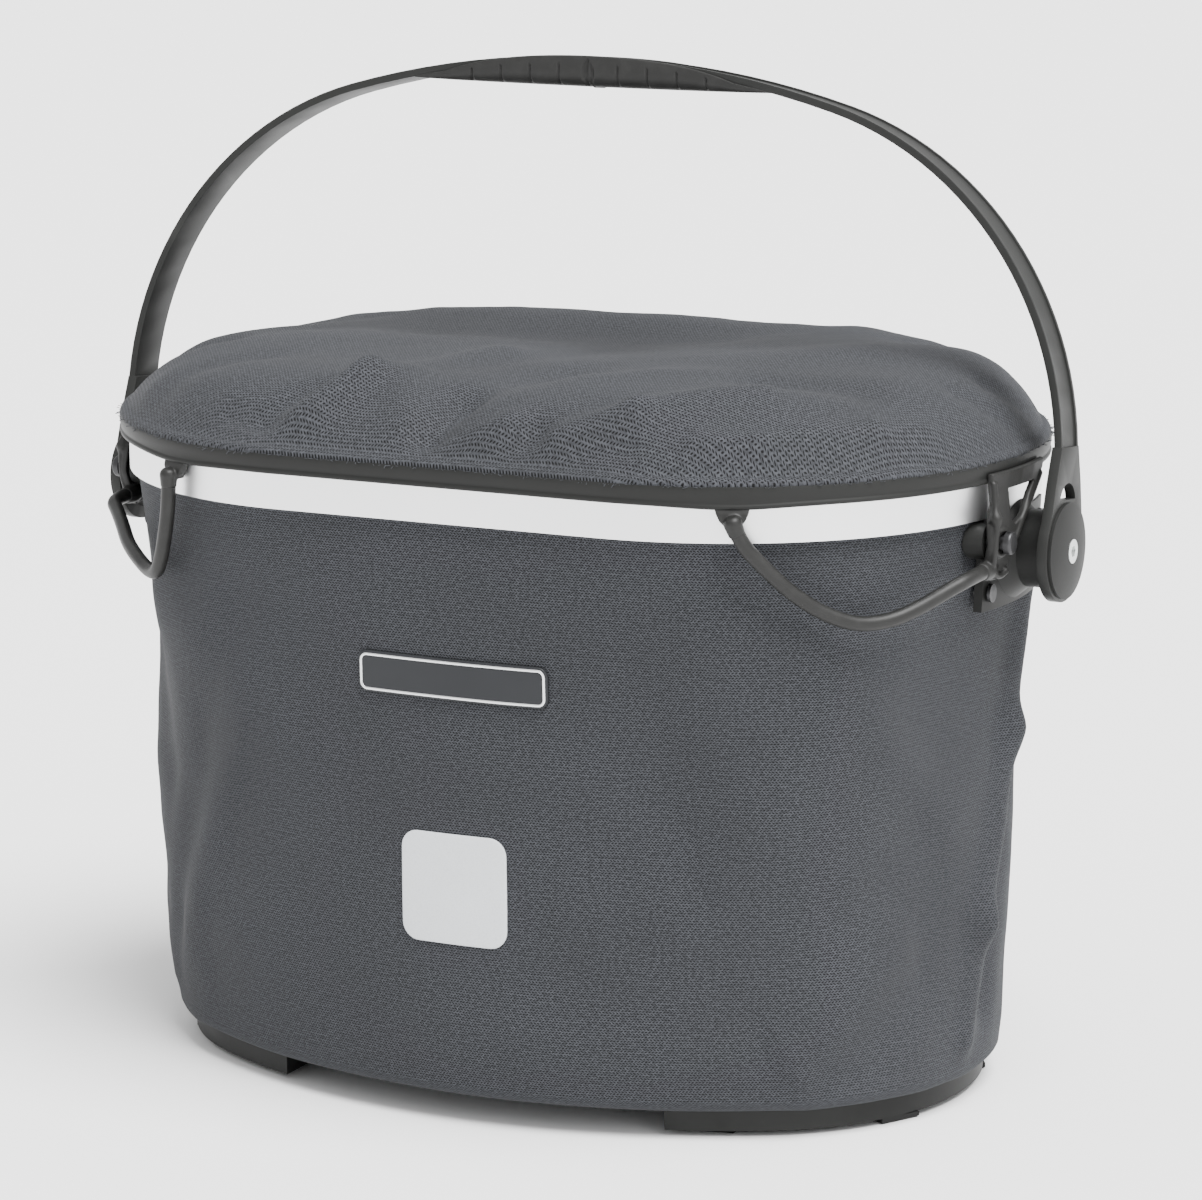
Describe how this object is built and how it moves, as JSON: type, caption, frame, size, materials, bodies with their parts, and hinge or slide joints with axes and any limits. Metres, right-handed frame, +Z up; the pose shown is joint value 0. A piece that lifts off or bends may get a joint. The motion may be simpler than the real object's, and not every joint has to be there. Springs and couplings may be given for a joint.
{
  "type": "handlebar basket",
  "caption": "Oblong fabric basket with a lift-off crowned lid held by rubber latches, a swinging carry handle and a rear plate that hooks onto a handlebar bracket.",
  "frame": {"origin": "on the ground, under the middle of the whole object", "axes": "+X to the right across the width, -Y the front, +Y the rear where it hooks onto the handlebar bracket, +Z up"},
  "size_m": [0.4242, 0.2688, 0.4043],
  "materials": {
    "bag_fabric": "coarse woven polyester, slate grey",
    "lid_fabric": "coarse woven polyester, slate grey",
    "rim_aluminium": "satin anodised, silver",
    "handle_aluminium": "dark anodised, satin",
    "dark_plastic": "moulded, matt",
    "black_plastic": "glass-filled, fine grain",
    "cap_plastic": "moulded, satin",
    "board": "stiff sheet",
    "grip_rubber": "soft, matt",
    "latch_rubber": "soft, satin",
    "cord_rubber": "smooth, satin",
    "foot_rubber": "matt",
    "stud_metal": "blackened",
    "steel": "zinc plated",
    "white_plastic": "acetal",
    "nameplate": "blank plate with a thin border",
    "reflector": "plain reflective film"
  },
  "bodies": {
    "basket": {"back_board": "board", "bag_shell": "bag_fabric", "base_nuts": "steel", "base_screws": "steel", "bottom_board": "board", "coupling_nuts": "steel", "coupling_plate": "black_plastic", "coupling_screws": "steel", "feet": "foot_rubber", "housing_rivets": "steel", "left_backing_washer": "steel", "left_base_skid": "black_plastic", "left_friction_washer": "white_plastic", "left_latch_stud": "stud_metal", "left_pivot_bolt": "steel", "left_pivot_bush": "white_plastic", "left_pivot_cap": "cap_plastic", "left_pivot_housing": "black_plastic", "left_pivot_nut": "steel", "nameplate": "nameplate", "reflector": "reflector", "right_backing_washer": "steel", "right_base_skid": "black_plastic", "right_friction_washer": "white_plastic", "right_latch_stud": "stud_metal", "right_pivot_bolt": "steel", "right_pivot_bush": "white_plastic", "right_pivot_cap": "cap_plastic", "right_pivot_housing": "black_plastic", "right_pivot_nut": "steel", "rim_band": "rim_aluminium", "rim_liner": "dark_plastic"},
    "handle": {"handle_arch": "handle_aluminium", "handle_grip": "grip_rubber"},
    "lid": {"lid_rim": "dark_plastic", "lid_fabric": "lid_fabric", "right_pull_cord": "cord_rubber", "left_pull_cord": "cord_rubber"},
    "latch_right": {"right_latch": "latch_rubber"},
    "latch_left": {"left_latch": "latch_rubber"}
  },
  "joints": [
    {"name": "handle_swing", "type": "hinge", "parent": "basket", "child": "handle", "pos_m": [0, -0.009, 0.2235], "axis": [-1, 0, 0], "range_deg": [-96.5, 83.5]},
    {"name": "lid_lift", "type": "slide", "parent": "basket", "child": "lid", "axis": [0, 0, 1], "range_m": [0, 0.04], "deforming": ["right_latch", "left_latch"]},
    {"name": "latch_right_flip", "type": "hinge", "parent": "lid", "child": "latch_right", "pos_m": [0.1925, -0.021, 0.2534], "axis": [0, -1, 0], "range_deg": [0, 18], "stiffness_Nm_per_rad": 0.05, "springref_deg": -5.73, "deforming": ["right_pull_cord"]},
    {"name": "latch_left_flip", "type": "hinge", "parent": "lid", "child": "latch_left", "pos_m": [-0.1925, -0.021, 0.2534], "axis": [0, 1, 0], "range_deg": [0, 18], "stiffness_Nm_per_rad": 0.05, "springref_deg": -5.73, "deforming": ["left_pull_cord"]}
  ]
}
